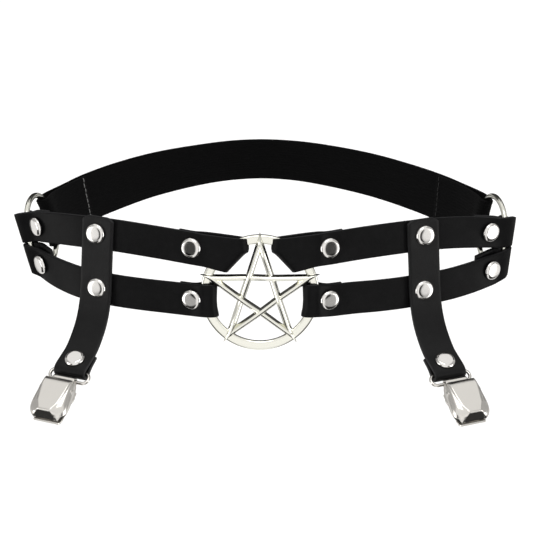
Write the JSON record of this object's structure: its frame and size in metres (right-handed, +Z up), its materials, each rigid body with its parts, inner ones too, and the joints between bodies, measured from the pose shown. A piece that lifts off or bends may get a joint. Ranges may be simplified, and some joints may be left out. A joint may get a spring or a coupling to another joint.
{
  "type": "thigh harness",
  "caption": "Worn thigh loop of riveted leather straps on a front ring with an interlaced star, side rings, an elastic back and hanging garter straps with spring clips.",
  "frame": {"origin": "middle of the loop that goes round the thigh, at the mid height of the elastic", "axes": "+X across the loop to the right as seen from the front, +Y towards the back of the thigh, +Z up along the thigh; the star ring is at the front, on the -Y side"},
  "size_m": [0.1958, 0.1684, 0.0704],
  "materials": {
    "strap_leather": "satin, fine grain",
    "elastic": "matte, fine rib",
    "ring_metal": "polished",
    "rivet_metal": "polished",
    "clip_metal": "polished"
  },
  "bodies": {
    "harness": {"upper_strap_left": "strap_leather", "lower_strap_left": "strap_leather", "upper_strap_right": "strap_leather", "lower_strap_right": "strap_leather", "garter_strap_left": "strap_leather", "garter_strap_right": "strap_leather", "elastic_band": "elastic", "star_ring": "ring_metal", "side_ring_left": "ring_metal", "side_ring_right": "ring_metal", "rivet_upper_left_ring": "rivet_metal", "rivet_upper_left_side": "rivet_metal", "rivet_upper_left_post": "rivet_metal", "rivet_lower_left_ring": "rivet_metal", "rivet_lower_left_side": "rivet_metal", "rivet_lower_left_post": "rivet_metal", "rivet_upper_right_ring": "rivet_metal", "rivet_upper_right_side": "rivet_metal", "rivet_upper_right_post": "rivet_metal", "rivet_lower_right_ring": "rivet_metal", "rivet_lower_right_side": "rivet_metal", "rivet_lower_right_post": "rivet_metal", "rivet_garter_left": "rivet_metal", "rivet_garter_right": "rivet_metal", "clip_frame_left": "clip_metal", "clip_wire_left": "clip_metal", "clip_frame_right": "clip_metal", "clip_wire_right": "clip_metal"},
    "left_lever": {"clip_lever_left": "clip_metal"},
    "right_lever": {"clip_lever_right": "clip_metal"}
  },
  "joints": [
    {"name": "left_clip_hinge", "type": "hinge", "parent": "harness", "child": "left_lever", "pos_m": [-0.07594, -0.08343, -0.04038], "axis": [-0.9136, 0.4067, 0], "range_deg": [0, 38]},
    {"name": "right_clip_hinge", "type": "hinge", "parent": "harness", "child": "right_lever", "pos_m": [0.07509, -0.0822, -0.04188], "axis": [-0.9205, -0.3907, 0], "range_deg": [0, 38]}
  ]
}
